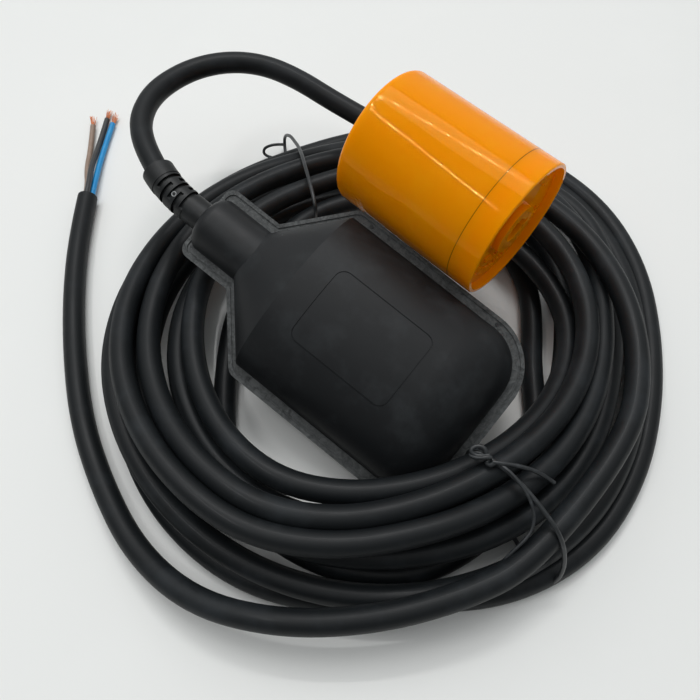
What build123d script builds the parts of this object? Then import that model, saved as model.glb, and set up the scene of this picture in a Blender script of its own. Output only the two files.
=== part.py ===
from build123d import *
import os
from math import cos, pi, radians, sin, sqrt, tan

os.makedirs("parts", exist_ok=True)

# Float body, two moulded half shells welded on a flat flange
float_length = 134.0
float_width = 80.0
neck_width = 32.0
neck_length = 24.0
shoulder_length = 21.0
flange_width = 4.4
nose_inset = 0.6
flange_thickness = 1.7
dome_height = 22.0
shell_wall = 2.2
shoulder_corner_radius = 5.5
neck_corner_radius = 4.0
end_corner_radius = 22.0
end_dome_length = 25.6
shoulder_base_height = 10.5
neck_nose_radius = 4.5
neck_inner_corner = 0.8
weld_groove_width = 0.9
weld_groove_depth = 0.5
weld_pip_radius = 0.7
weld_pip_height = 0.4
weld_pip_inset = 3.0
weld_pip_setback = 7.0
label_length = 42.0
label_width = 31.0
label_line = 0.5
label_depth = 0.3
label_start = 56.0
label_corner = 4.0
cut_margin = 0.5
dome_turns = (22, 40, 55, 67, 77, 85, 88.5)

# Where the float lies: far end on the floor inside the coil, neck propped up on it
float_origin = (-51.1, -27.4, 48.5)
float_pitch = 13.5
float_roll = 19.2

# Cable and its cores
cable_diameter = 9.0
core_diameter = 2.7
conductor_diameter = 1.5
core_pitch_radius = 1.75

# Strain relief moulded on the cable
relief_collar_diameter = 12.0
relief_diameter = 12.5
relief_core_diameter = 10.4
relief_cuff_diameter = 12.9
relief_head_diameter = 17.0
relief_head_thickness = 3.0
relief_collar_length = 7.6
relief_cuff_length = 6.4
relief_slot_width = 1.6
relief_slot_count = 5
relief_slot_pitch = 2.8
relief_side_bridge = 5.0
relief_middle_bridge = 3.4
relief_bend = 22.0
relief_bend_turn = -34.0
moulded_gap = 0.1

# Grommet behind the strain relief
grommet_length = 8.0
grommet_gap = 0.1
grommet_chamfer = 1.0

# Switch capsule: a bay for the switch and a tube for the ball
bay_setback = 1.0
bay_length = 39.2
bay_width = 34.0
bay_height = 28.0
bay_corner_radius = 5.0
capsule_wall = 1.8
gasket_thickness = 0.8
entry_gap = 0.2
jacket_reach = 2.0
lug_width = 6.0
lug_thickness = 2.5
lug_reach = 5.6
lug_offset = 7.0
screw_diameter = 2.9
screw_head_diameter = 5.4
screw_head_height = 1.8
screw_gap = 0.05
screw_head_round = 0.8
screw_slot_length = 3.0
screw_slot_width = 0.6

# Steel ball and its roll
ball_diameter = 18.0
ball_gap = 0.3
ball_end_room = 24.5

# Snap switch inside the capsule
switch_height = 15.9
switch_width = 27.8
switch_thickness = 10.3
switch_setback = 15.2
switch_corner_radius = 0.6
switch_hole_diameter = 3.1
switch_hole_spacing = 22.2
switch_hole_height = 3.0
peg_gap = 0.05
peg_base_diameter = 6.0
plunger_diameter = 3.0
plunger_gap = 0.1
plunger_length = 8.0
plunger_offset = -2.0
plunger_stroke = 0.9
plunger_round = 0.7
lever_thickness = 0.5
lever_width = 4.4
lever_length = 19.0
lever_pivot_offset = -11.5
lever_pivot_height = 2.3
lever_barrel_radius = 1.1
lever_tip_round = 1.2
tip_gap = 0.15
pin_diameter = 1.0
pin_gap = 0.05
ear_thickness = 1.4
ear_gap = 0.3
ear_width = 3.4
terminal_width = 4.8
terminal_thickness = 0.8
terminal_reach = 5.0
terminal_root = 3.0
terminal_spacing = 9.0
terminal_hole_radius = 0.7
lead_diameter = 2.5
lead_straight = 2.6
lead_bend_radius = 1.6

# Counterweight: a round moulded cup with a pressed cap, filled with cement, and where
# its capped end lies: along the float, beyond its edge and above its weld plane
weight_along = 96.213
weight_beyond_edge = 26.157
weight_above = 12.093
weight_azimuth = -5.8
weight_drop = 2.8
weight_diameter = 55.0
weight_length = 65.0
weight_wall = 2.2
weight_edge_radius = 2.0
weight_cap_edge = 0.6
weight_cap_length = 10.0
weight_spigot_length = 5.0
weight_spigot_gap = 0.1
weight_bore_diameter = 10.0
weight_tube_wall = 1.9
weight_recess = 3.4
weight_lip = 1.5
weight_hub_diameter = 20.0
weight_hub_height = 2.6
weight_floor = 2.0
ballast_gap = 0.3
ring_outer_diameter = 15.0
ring_height = 3.4
ring_gap = 0.1
ring_slot = 3.0

# Coil of cable on the floor
coil_centre = (16.4, -4.1)
coil_inner_radius = 57.0
coil_outer_radius = 116.5
coil_height = 34.0
coil_inner_side = 20.0
coil_outer_side = 22.0
coil_crown_start = 72.0
coil_crown_end = 98.0
coil_edge_radius = 3.0
coil_top_radius = 14.0
float_clearance = 1.0
tuck_start = 84.0
lay_gap = 0.2

# Wire ties round the coil
tie_diameter = 1.5
tie_clearance = 0.3
tie_front_azimuth = -24.0
tie_rear_azimuth = 153.0
tie_corner_radius = 3.0
tie_front_inside = 71.5
tie_slope_lift = 2.5

# Free routes of the cable, points chosen by hand along its centre line
tail_route = [
    (115.3, -57.0, 24.0),
    (102.3, -80.0, 23.0),
    (83.3, -102.5, 20.5),
    (59.3, -121.5, 18.0),
    (31.3, -133.5, 13.0),
    (1.8, -133.5, 7.4),
    (-26.7, -124.0, 4.6),
    (-53.7, -110.5, 4.5),
    (-80.7, -90.5, 4.5),
    (-104.7, -69.0, 4.5),
    (-124.7, -47.5, 4.5),
    (-138.0, -29.9, 4.5),
]
loop_first_run = 11.9
loop_route = [
    (-101.6, -9.3, 56.1),
    (-109.0, 5.0, 55.4),
    (-110.0, 20.8, 54.0),
    (-106.1, 34.3, 52.9),
    (-98.0, 45.5, 51.8),
    (-86.7, 53.3, 50.4),
    (-72.2, 57.4, 47.7),
    (-56.7, 59.6, 43.7),
    (-35.9, 62.0, 40.3),
    (-14.7, 64.2, 36.5),
    (3.3, 61.0, 32.0),
]
core_first_run = 8.0
core_turns = {"core_black": 270, "core_blue": 30, "core_brown": 150}
core_routes = {
    "core_black": [(-151.1, -15.0, 4.6), (-160.2, -2.3, 2.4), (-171.4, 13.7, 1.7)],
    "core_blue": [(-149.2, -12.8, 2.6), (-158.2, -0.5, 1.7), (-166.8, 13.2, 1.5)],
    "core_brown": [(-153.1, -17.2, 2.4), (-162.9, -5.8, 1.7), (-173.9, 6.0, 1.5)],
}
copper_length = 9.0


# Frame of the float: x along its length, y to its right side, z up out of the weld plane
long_dir = Vector(1, 0, 0).rotate(Axis.Y, float_pitch)
up_dir = Vector(0, 0, 1).rotate(Axis.Y, float_pitch).rotate(Axis((0, 0, 0), long_dir), float_roll)
float_plane = Plane(origin=float_origin, x_dir=long_dir, z_dir=up_dir)
side_dir = float_plane.y_dir


def float_point(along, side=0.0, up=0.0):
    """A point given along, across and above the weld plane of the float."""
    return float_plane.from_local_coords(Vector(along, side, up))


def station(along):
    """Cross-section plane of the float: x to its right side, y up, normal along it."""
    return Plane(origin=float_point(along), x_dir=side_dir, z_dir=long_dir)


def upright(along):
    """Plane through the long axis, x along the float and y up, moved to its side."""
    return Plane(origin=float_point(0, along), x_dir=long_dir, z_dir=-side_dir)


# Plan outline of the flange
half_neck = neck_width / 2
half_width = float_width / 2
shoulder_end = neck_length + shoulder_length


def float_outline(inset=0.0):
    """Plan face of the flange, drawn inset from its outer edge."""
    right_side = [
        (0, half_neck),
        (neck_length, half_neck),
        (shoulder_end, half_width),
        (float_length, half_width),
    ]
    left_side = [(x, -y) for x, y in reversed(right_side)]
    with BuildSketch(Plane.XY, mode=Mode.PRIVATE) as outline:
        with BuildLine():
            Polyline(right_side + left_side, close=True)
        make_face()
        if inset:
            offset(amount=-inset, kind=Kind.INTERSECTION)
        corners = outline.vertices().sort_by(Axis.X)
        fillet(corners[6:8], end_corner_radius - inset)
        shoulders = outline.vertices().group_by(Axis.Y)
        fillet(shoulders[0].sort_by(Axis.X)[0:1] + shoulders[-1].sort_by(Axis.X)[0:1],
               shoulder_corner_radius)
        fillet(outline.vertices().group_by(Axis.X)[0], max(neck_corner_radius - inset / 2, 1.0))
    return outline.sketch


def float_form(inset=0.0):
    """Closed form of both domes and the neck, drawn inset from their outer surface."""
    neck_radius = half_neck - flange_width - inset
    nose = nose_inset + inset
    side = half_width - flange_width - inset
    height = dome_height - inset
    corner = end_corner_radius - flange_width
    corner_start = float_length - end_corner_radius
    fall_start = float_length - flange_width - end_dome_length
    fall = end_dome_length - inset
    flare = inset / (half_width - half_neck) * shoulder_length
    with BuildPart(mode=Mode.PRIVATE) as form:
        with BuildSketch(upright(0)):
            with BuildLine():
                round_radius = neck_nose_radius if inset < shell_wall else neck_inner_corner
                Line((nose, 0), (nose, neck_radius - round_radius))
                RadiusArc((nose, neck_radius - round_radius), (nose + round_radius, neck_radius),
                          round_radius)
                Line((nose + round_radius, neck_radius), (shoulder_end, neck_radius))
                Line((shoulder_end, neck_radius), (shoulder_end, 0))
                Line((shoulder_end, 0), (nose, 0))
            make_face()
        revolve(axis=Axis(float_point(0), long_dir))
        with BuildSketch(station(neck_length)):
            Ellipse(neck_radius - flare / 2, shoulder_base_height - inset)
        with BuildSketch(station(shoulder_end)):
            Ellipse(side, height)
        loft(ruled=True)
        with BuildSketch(station(shoulder_end)):
            Ellipse(side, height)
        extrude(amount=fall_start - shoulder_end)
        with BuildSketch(station(fall_start)):
            Ellipse(side, height)
        for turn in dome_turns:
            along = fall_start + fall * sin(radians(turn))
            past = max(along - corner_start, 0)
            reach = corner - inset
            half = side - reach + sqrt(max(reach**2 - past**2, 0.01))
            with BuildSketch(station(along)):
                Ellipse(half, height * cos(radians(turn)))
        loft()
    return form.part


outer_form = float_form()
inner_form = float_form(shell_wall)

# Ball tube and switch bay, shared by both halves of the capsule
bay_start = shoulder_end - bay_setback
ball_rest = float_length - ball_end_room
ball_tube_radius = ball_diameter / 2 + ball_gap
tube_outer_radius = ball_tube_radius + capsule_wall
bay_end = bay_start + bay_length
tube_end = ball_rest + tube_outer_radius
half_gasket = gasket_thickness / 2
screw_places = [
    (bay_start + lug_offset, bay_width / 2 + lug_reach / 2),
    (bay_end - lug_offset, bay_width / 2 + lug_reach / 2),
    (bay_start + lug_offset, -bay_width / 2 - lug_reach / 2),
    (bay_end - lug_offset, -bay_width / 2 - lug_reach / 2),
]


def capsule_form(inset=0.0):
    """Closed form of the capsule, drawn inset from its outer surface."""
    with BuildPart(mode=Mode.PRIVATE) as form:
        with BuildSketch(station(bay_start + inset)):
            RectangleRounded(bay_width - 2 * inset, bay_height - 2 * inset,
                             bay_corner_radius - inset)
        extrude(amount=bay_length - 2 * inset)
        with BuildSketch(station(bay_start + bay_length / 2)):
            Circle(tube_outer_radius - inset)
        extrude(amount=ball_rest - bay_start - bay_length / 2)
        with BuildSketch(upright(0)):
            with BuildLine():
                Line((ball_rest, 0), (ball_rest + tube_outer_radius - inset, 0))
                RadiusArc((ball_rest + tube_outer_radius - inset, 0),
                          (ball_rest, tube_outer_radius - inset), -(tube_outer_radius - inset))
                Line((ball_rest, tube_outer_radius - inset), (ball_rest, 0))
            make_face()
        revolve(axis=Axis(float_point(0), long_dir))
    return form.part


capsule_outer = capsule_form()
capsule_inner = capsule_form(capsule_wall)


def half_space(direction, gap=0.0):
    """Block above or below the weld plane that keeps one half of a form."""
    with BuildPart(mode=Mode.PRIVATE) as block:
        with BuildSketch(float_plane.offset(direction * gap)):
            with Locations((float_length / 2, 0)):
                Rectangle(2 * float_length, 2 * float_width)
        extrude(amount=direction * 2 * dome_height)
    return block.part


# Ribs inside a shell hold the capsule: two under the bay and one under the ball tube
rib_thickness = 2.0
rib_places = (bay_start + lug_offset + lug_width, bay_end - lug_offset - lug_width)
tube_rib_place = (bay_end + tube_end) / 2


def shell_cavity(direction):
    """Hollow of one shell, with the ribs that seat the capsule left standing."""
    with BuildPart(mode=Mode.PRIVATE) as cavity:
        add(inner_form)
        add(half_space(direction, -cut_margin), mode=Mode.INTERSECT)
        for place in rib_places:
            with BuildSketch(station(place - rib_thickness / 2)):
                with Locations((0, direction * dome_height)):
                    Rectangle(float_width, 2 * dome_height - bay_height)
            extrude(amount=rib_thickness, mode=Mode.SUBTRACT)
        with BuildSketch(station(tube_rib_place - rib_thickness / 2)):
            with Locations((0, direction * dome_height)):
                Rectangle(float_width, 2 * dome_height - tube_outer_radius)
            Circle(tube_outer_radius, mode=Mode.SUBTRACT)
        extrude(amount=rib_thickness, mode=Mode.SUBTRACT)
    return cavity.part


# Where the strain relief's head stops behind the front wall of the neck
head_start = nose_inset + shell_wall


def flange_plate(direction):
    """Half of the welded flange, before the hollow is cut."""
    with BuildSketch(float_plane) as plate:
        add(float_outline())
    extrude(plate.sketch, amount=direction * flange_thickness)


def relief_hole():
    """Hole in the front of the neck for the collar of the strain relief."""
    with BuildSketch(station(-cut_margin)) as hole:
        Circle(relief_collar_diameter / 2)
    extrude(hole.sketch, amount=cut_margin + head_start + shell_wall, mode=Mode.SUBTRACT)


# Upper shell, with the weld groove round its flange and the outline of the label field
with BuildPart() as upper_dome:
    add(outer_form)
    add(half_space(1), mode=Mode.INTERSECT)

with BuildPart() as label_field:
    with BuildSketch(float_plane):
        with Locations((label_start + label_length / 2, 0)):
            RectangleRounded(label_length, label_width, label_corner)
            RectangleRounded(label_length - 2 * label_line, label_width - 2 * label_line,
                             label_corner - label_line, mode=Mode.SUBTRACT)
    extrude(amount=2 * dome_height)
    add(outer_form, mode=Mode.INTERSECT)
    add(float_form(label_depth), mode=Mode.SUBTRACT)

with BuildPart() as float_upper_shell:
    flange_plate(1)
    add(upper_dome.part)
    add(shell_cavity(1), mode=Mode.SUBTRACT)
    relief_hole()
    with BuildSketch(float_plane.offset(flange_thickness - weld_groove_depth)):
        add(float_outline(flange_width / 3))
        add(float_outline(flange_width / 3 + weld_groove_width), mode=Mode.SUBTRACT)
    extrude(amount=weld_groove_depth, mode=Mode.SUBTRACT)
    with BuildSketch(float_plane.offset(flange_thickness)):
        with Locations((shoulder_end + weld_pip_setback, half_width - weld_pip_inset),
                       (shoulder_end + weld_pip_setback, -half_width + weld_pip_inset),
                       (float_length - end_corner_radius, half_width - weld_pip_inset)):
            Circle(weld_pip_radius)
    extrude(amount=weld_pip_height)
    add(label_field.part, mode=Mode.SUBTRACT)
float_upper_shell.part.label = "float_upper_shell"
export_step(float_upper_shell.part, "parts/float_upper_shell.step")

# Lower shell
with BuildPart() as lower_dome:
    add(outer_form)
    add(half_space(-1), mode=Mode.INTERSECT)

with BuildPart() as float_lower_shell:
    flange_plate(-1)
    add(lower_dome.part)
    add(shell_cavity(-1), mode=Mode.SUBTRACT)
    relief_hole()
float_lower_shell.part.label = "float_lower_shell"
export_step(float_lower_shell.part, "parts/float_lower_shell.step")

# Strain relief: straight through its collar, then bent by the pull of the cable
cuff_start = relief_collar_length + relief_slot_count * relief_slot_pitch
relief_end = cuff_start + relief_cuff_length
bend_dir = side_dir * cos(radians(relief_bend_turn)) + up_dir * sin(radians(relief_bend_turn))
bend_radius = (relief_end - relief_collar_length) / radians(relief_bend)


def relief_dir(distance):
    """Direction of the cable at a distance outside the neck."""
    turn = (distance - relief_collar_length) / bend_radius
    return bend_dir * sin(turn) - long_dir * cos(turn)


def relief_point(distance):
    """Centre of the bent sleeve at a distance outside the neck."""
    turn = (distance - relief_collar_length) / bend_radius
    sideways = bend_dir * (bend_radius * (1 - cos(turn)))
    return float_point(-relief_collar_length) - long_dir * (bend_radius * sin(turn)) + sideways


def relief_station(distance):
    """Cross-section plane of the bent sleeve, its normal pointing out along the cable."""
    hinge = bend_dir.cross(long_dir)
    return Plane(origin=relief_point(distance), x_dir=hinge, z_dir=relief_dir(distance))


def bent_run(start, end, diameter):
    """Round section and arc of a stretch that follows the bend."""
    with BuildLine() as arc:
        ThreePointArc(relief_point(start), relief_point((start + end) / 2), relief_point(end))
    with BuildSketch(relief_station(start)) as circle:
        Circle(diameter / 2)
    return circle.sketch, arc.wire()


with BuildPart() as strain_relief:
    with BuildSketch(station(head_start)):
        Circle(relief_head_diameter / 2)
    extrude(amount=relief_head_thickness)
    with BuildSketch(station(-relief_collar_length)):
        Circle(relief_collar_diameter / 2)
    extrude(amount=relief_collar_length + head_start)
    sleeve, sleeve_path = bent_run(relief_collar_length, cuff_start, relief_diameter)
    sweep(sleeve, path=sleeve_path)
    cuff, cuff_path = bent_run(cuff_start, relief_end, relief_cuff_diameter)
    sweep(cuff, path=cuff_path)
    for row in range(relief_slot_count):
        with BuildSketch(relief_station(relief_collar_length + row * relief_slot_pitch)):
            Circle(relief_cuff_diameter)
            Circle(relief_core_diameter / 2, mode=Mode.SUBTRACT)
            if row % 2:
                Rectangle(2 * relief_cuff_diameter, relief_middle_bridge, mode=Mode.SUBTRACT)
            else:
                Rectangle(relief_side_bridge, 2 * relief_cuff_diameter, mode=Mode.SUBTRACT)
        extrude(amount=relief_slot_width, mode=Mode.SUBTRACT)
    bore, bore_path = bent_run(relief_collar_length, relief_end, cable_diameter + 2 * moulded_gap)
    sweep(bore, path=bore_path, mode=Mode.SUBTRACT)
    with BuildSketch(station(-relief_collar_length)):
        Circle(cable_diameter / 2 + moulded_gap)
    extrude(amount=relief_collar_length + head_start + relief_head_thickness, mode=Mode.SUBTRACT)
strain_relief.part.label = "strain_relief"
export_step(strain_relief.part, "parts/strain_relief.step")

# Cable end held in the strain relief, the grommet and the entry of the capsule
jacket_end = bay_start + jacket_reach
with BuildPart() as cable_inner:
    with BuildSketch(station(-relief_collar_length)):
        Circle(cable_diameter / 2)
    extrude(amount=relief_collar_length + jacket_end)
    jacket, jacket_path = bent_run(relief_collar_length, relief_end, cable_diameter)
    sweep(jacket, path=jacket_path)
cable_inner.part.label = "cable_inner"
export_step(cable_inner.part, "parts/cable_inner.step")

# Rubber grommet packed into the neck behind the strain relief
grommet_start = head_start + relief_head_thickness
neck_bore_radius = half_neck - flange_width - shell_wall
with BuildPart() as neck_grommet:
    with BuildSketch(station(grommet_start)):
        Circle(neck_bore_radius - grommet_gap)
        Circle(cable_diameter / 2 + grommet_gap, mode=Mode.SUBTRACT)
    extrude(amount=grommet_length)
    chamfer(neck_grommet.edges().sort_by(Axis(float_point(0), long_dir))[-2:], grommet_chamfer)
neck_grommet.part.label = "neck_grommet"
export_step(neck_grommet.part, "parts/neck_grommet.step")


def capsule_half(direction):
    """One half of the capsule: wall, screw lugs and half of the cable entry."""
    add(capsule_outer)
    with BuildSketch(float_plane) as lugs:
        with Locations(*screw_places):
            SlotCenterToCenter(lug_reach, lug_width, rotation=90)
    extrude(lugs.sketch, amount=direction * (half_gasket + lug_thickness))
    add(half_space(direction, half_gasket), mode=Mode.INTERSECT)
    add(capsule_inner, mode=Mode.SUBTRACT)
    with BuildSketch(station(bay_start - 1)) as entry:
        Circle(cable_diameter / 2 + entry_gap)
    extrude(entry.sketch, amount=capsule_wall + 2, mode=Mode.SUBTRACT)
    with BuildSketch(float_plane) as screw_holes:
        with Locations(*screw_places):
            Circle(screw_diameter / 2 + screw_gap)
    extrude(screw_holes.sketch, amount=direction * bay_height, mode=Mode.SUBTRACT)


# Capsule base, with the pegs that the snap switch stands on
switch_start = bay_start + switch_setback
bay_floor = bay_height / 2 - capsule_wall
peg_places = [
    (switch_start + switch_hole_height, switch_hole_spacing / 2),
    (switch_start + switch_hole_height, -switch_hole_spacing / 2),
]
with BuildPart() as capsule_base:
    capsule_half(-1)
    with BuildSketch(float_plane.offset(-bay_floor)):
        with Locations(*peg_places):
            Circle(peg_base_diameter / 2)
    extrude(amount=bay_floor - switch_thickness / 2)
    with BuildSketch(float_plane.offset(-bay_floor)):
        with Locations(*peg_places):
            Circle(switch_hole_diameter / 2 - peg_gap)
    extrude(amount=bay_floor + switch_thickness / 2)
capsule_base.part.label = "capsule_base"
export_step(capsule_base.part, "parts/capsule_base.step")

# Capsule cover
with BuildPart() as capsule_cover:
    capsule_half(1)
capsule_cover.part.label = "capsule_cover"
export_step(capsule_cover.part, "parts/capsule_cover.step")

# Gasket between the halves of the capsule
with BuildPart() as capsule_gasket:
    add(capsule_outer)
    with BuildSketch(float_plane):
        with Locations(*screw_places):
            SlotCenterToCenter(lug_reach, lug_width, rotation=90)
    extrude(amount=lug_thickness, both=True)
    with BuildSketch(float_plane.offset(-half_gasket)):
        with Locations((float_length / 2, 0)):
            Rectangle(float_length, float_width)
    extrude(amount=gasket_thickness, mode=Mode.INTERSECT)
    add(capsule_inner, mode=Mode.SUBTRACT)
    with BuildSketch(station(bay_start - 1)):
        Circle(cable_diameter / 2 + entry_gap)
    extrude(amount=capsule_wall + 2, mode=Mode.SUBTRACT)
    with BuildSketch(float_plane.offset(-lug_thickness)):
        with Locations(*screw_places):
            Circle(screw_diameter / 2 + screw_gap)
    extrude(amount=2 * lug_thickness, mode=Mode.SUBTRACT)
capsule_gasket.part.label = "capsule_gasket"
export_step(capsule_gasket.part, "parts/capsule_gasket.step")

# Four pan-head screws through the lugs
lug_top = half_gasket + lug_thickness
with BuildPart() as capsule_screws:
    with BuildSketch(float_plane.offset(-lug_top)):
        with Locations(*screw_places):
            Circle(screw_diameter / 2)
    extrude(amount=2 * lug_top)
    with BuildSketch(float_plane.offset(lug_top)):
        with Locations(*screw_places):
            Circle(screw_head_diameter / 2)
    extrude(amount=screw_head_height)
    heads = capsule_screws.edges().filter_by(GeomType.CIRCLE).sort_by(Axis(float_point(0), up_dir))
    fillet(heads[-4:], screw_head_round)
    with BuildSketch(float_plane.offset(lug_top + screw_head_height / 2)):
        with Locations(*screw_places):
            Rectangle(screw_slot_length, screw_slot_width)
            Rectangle(screw_slot_width, screw_slot_length)
    extrude(amount=screw_head_height, mode=Mode.SUBTRACT)
capsule_screws.part.label = "capsule_screws"
export_step(capsule_screws.part, "parts/capsule_screws.step")

# Steel ball at the low end of its tube
with BuildPart() as steel_ball:
    with BuildSketch(upright(0)):
        with BuildLine():
            RadiusArc((ball_rest - ball_diameter / 2, 0), (ball_rest + ball_diameter / 2, 0),
                      ball_diameter / 2)
            Line((ball_rest - ball_diameter / 2, 0), (ball_rest + ball_diameter / 2, 0))
        make_face()
    revolve(axis=Axis(float_point(0), long_dir))
steel_ball.part.label = "steel_ball"
export_step(steel_ball.part, "parts/steel_ball.step")

# Snap switch: case with plunger bore, lever ears, fixing holes and terminal slots
switch_top = switch_start + switch_height
pivot_along = switch_top + lever_pivot_height
ear_start = lever_width / 2 + ear_gap
terminal_places = (-terminal_spacing, 0.0, terminal_spacing)
plunger_tip = pivot_along - lever_thickness / 2 - tip_gap
with BuildPart() as switch_case:
    with BuildSketch(station(switch_start)):
        RectangleRounded(switch_width, switch_thickness, switch_corner_radius)
    extrude(amount=switch_height)
    with BuildSketch(station(switch_top)):
        with Locations((lever_pivot_offset, ear_start + ear_thickness / 2),
                       (lever_pivot_offset, -ear_start - ear_thickness / 2)):
            Rectangle(ear_width, ear_thickness)
    extrude(amount=lever_pivot_height + ear_width / 2)
    with BuildSketch(float_plane.offset(-switch_thickness)):
        with Locations((pivot_along, lever_pivot_offset)):
            Circle(pin_diameter / 2)
    extrude(amount=2 * switch_thickness, mode=Mode.SUBTRACT)
    with BuildSketch(float_plane.offset(-switch_thickness)):
        with Locations(*peg_places):
            Circle(switch_hole_diameter / 2)
    extrude(amount=2 * switch_thickness, mode=Mode.SUBTRACT)
    with BuildSketch(station(plunger_tip - plunger_length - plunger_stroke - plunger_gap)):
        with Locations((plunger_offset, 0)):
            Circle(plunger_diameter / 2 + plunger_gap)
    extrude(amount=switch_height, mode=Mode.SUBTRACT)
    for place in terminal_places:
        with BuildSketch(station(switch_start)):
            with Locations((place, 0)):
                Rectangle(terminal_thickness, terminal_width)
        extrude(amount=terminal_root, mode=Mode.SUBTRACT)
switch_case.part.label = "switch_case"
export_step(switch_case.part, "parts/switch_case.step")

# Plunger of the snap switch
with BuildPart() as switch_plunger:
    with BuildSketch(station(plunger_tip - plunger_length)):
        with Locations((plunger_offset, 0)):
            Circle(plunger_diameter / 2)
    extrude(amount=plunger_length)
    fillet(switch_plunger.edges().sort_by(Axis(float_point(0), long_dir))[-1], plunger_round)
switch_plunger.part.label = "switch_plunger"
export_step(switch_plunger.part, "parts/switch_plunger.step")

# Lever: a spring strip with a rolled eye round the pivot pin
with BuildPart() as switch_lever:
    with BuildSketch(float_plane.offset(-lever_width / 2)):
        with Locations((pivot_along, lever_pivot_offset)):
            Circle(lever_barrel_radius)
        with Locations((pivot_along, lever_pivot_offset + lever_length / 2)):
            Rectangle(lever_thickness, lever_length)
        with Locations((pivot_along, lever_pivot_offset)):
            Circle(pin_diameter / 2 + pin_gap, mode=Mode.SUBTRACT)
    extrude(amount=lever_width)
    tip_edges = switch_lever.edges().filter_by(Axis(float_point(0), long_dir))
    fillet(tip_edges.sort_by(Axis(float_point(0), side_dir))[-2:], lever_tip_round)
switch_lever.part.label = "switch_lever"
export_step(switch_lever.part, "parts/switch_lever.step")

# Pivot pin of the lever
with BuildPart() as lever_pin:
    with BuildSketch(float_plane.offset(-ear_start - ear_thickness)):
        with Locations((pivot_along, lever_pivot_offset)):
            Circle(pin_diameter / 2)
    extrude(amount=2 * (ear_start + ear_thickness))
lever_pin.part.label = "lever_pin"
export_step(lever_pin.part, "parts/lever_pin.step")

# Three brass terminals, with the leads from the cable's end to them
core_places = [
    (core_pitch_radius * cos(radians(turn)), core_pitch_radius * sin(radians(turn)))
    for turn in (210, 90, -30)
]
for place, core, colour in zip(terminal_places, core_places, ("brown", "black", "blue")):
    with BuildPart() as terminal:
        with BuildSketch(station(switch_start - terminal_reach)):
            with Locations((place, 0)):
                Rectangle(terminal_thickness, terminal_width)
        extrude(amount=terminal_reach + terminal_root)
        with BuildSketch(upright(place - terminal_thickness)):
            with Locations((switch_start - terminal_reach / 2, 0)):
                Circle(terminal_hole_radius)
        extrude(amount=-2 * terminal_thickness, mode=Mode.SUBTRACT)
    terminal.part.label = f"terminal_{colour}"
    export_step(terminal.part, f"parts/terminal_{colour}.step")

    lead_end = switch_start - terminal_reach
    with BuildPart() as lead:
        with BuildLine() as lead_line:
            FilletPolyline(
                float_point(jacket_end, core[0], core[1]),
                float_point(jacket_end + lead_straight, core[0], core[1]),
                float_point(lead_end - lead_straight, place, 0),
                float_point(lead_end, place, 0),
                radius=lead_bend_radius,
            )
        with BuildSketch(Plane(origin=lead_line.line @ 0, z_dir=lead_line.line % 0)):
            Circle(lead_diameter / 2)
        sweep(path=lead_line.line)
    lead.part.label = f"lead_{colour}"
    export_step(lead.part, f"parts/lead_{colour}.step")

# Counterweight frame: x along the bore towards the capped end
weight_dir = Vector(1, 0, 0).rotate(Axis.Y, weight_drop).rotate(Axis.Z, weight_azimuth)
weight_near_end = float_point(weight_along, half_width + weight_beyond_edge, weight_above)
weight_start = weight_near_end - weight_dir * weight_length
weight_plane = Plane(origin=weight_start, x_dir=weight_dir,
                     z_dir=weight_dir.cross(Vector(0, 0, 1)).normalized())
weight_axis = Axis(weight_start, weight_dir)
weight_radius = weight_diameter / 2
bore_radius = weight_bore_diameter / 2
tube_radius = bore_radius + weight_tube_wall
cap_seam = weight_length - weight_cap_length
face_place = weight_length - weight_recess


# Cup of the counterweight, with the tube that the cable would run through
with BuildPart() as weight_cup:
    with BuildSketch(weight_plane):
        with BuildLine():
            Polyline(
                (0, bore_radius),
                (0, weight_radius),
                (cap_seam, weight_radius),
                (cap_seam, weight_radius - weight_wall),
                (weight_floor, weight_radius - weight_wall),
                (weight_floor, tube_radius),
                (face_place - weight_floor, tube_radius),
                (face_place - weight_floor, bore_radius),
                close=True,
            )
        make_face()
    revolve(axis=weight_axis)
    rims = weight_cup.edges().filter_by(GeomType.CIRCLE).sort_by(SortBy.RADIUS)
    fillet(rims.group_by(weight_axis)[0].sort_by(SortBy.RADIUS)[-1], weight_edge_radius)
weight_cup.part.label = "weight_cup"
export_step(weight_cup.part, "parts/weight_cup.step")

# Cap pressed into the cup, with a recessed face, a raised rim and a hub
spigot_radius = weight_radius - weight_wall - weight_spigot_gap
with BuildPart() as weight_cap:
    with BuildSketch(weight_plane):
        with BuildLine():
            Polyline(
                (cap_seam, spigot_radius - weight_wall),
                (cap_seam - weight_spigot_length, spigot_radius - weight_wall),
                (cap_seam - weight_spigot_length, spigot_radius),
                (cap_seam, spigot_radius),
                (cap_seam, weight_radius),
                (weight_length, weight_radius),
                (weight_length, weight_radius - weight_lip),
                (face_place, weight_radius - weight_lip),
                (face_place, weight_hub_diameter / 2),
                (face_place + weight_hub_height, weight_hub_diameter / 2),
                (face_place + weight_hub_height, ring_outer_diameter / 2 + ring_gap),
                (face_place + weight_hub_height - ring_height,
                 ring_outer_diameter / 2 + ring_gap),
                (face_place + weight_hub_height - ring_height, bore_radius),
                (face_place - weight_floor, bore_radius),
                (face_place - weight_floor, spigot_radius - weight_wall),
                close=True,
            )
        make_face()
    revolve(axis=weight_axis)
    rims = weight_cap.edges().filter_by(GeomType.CIRCLE).group_by(weight_axis)[-1]
    fillet(rims.sort_by(SortBy.RADIUS)[-1], weight_cap_edge)
weight_cap.part.label = "weight_cap"
export_step(weight_cap.part, "parts/weight_cap.step")

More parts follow.
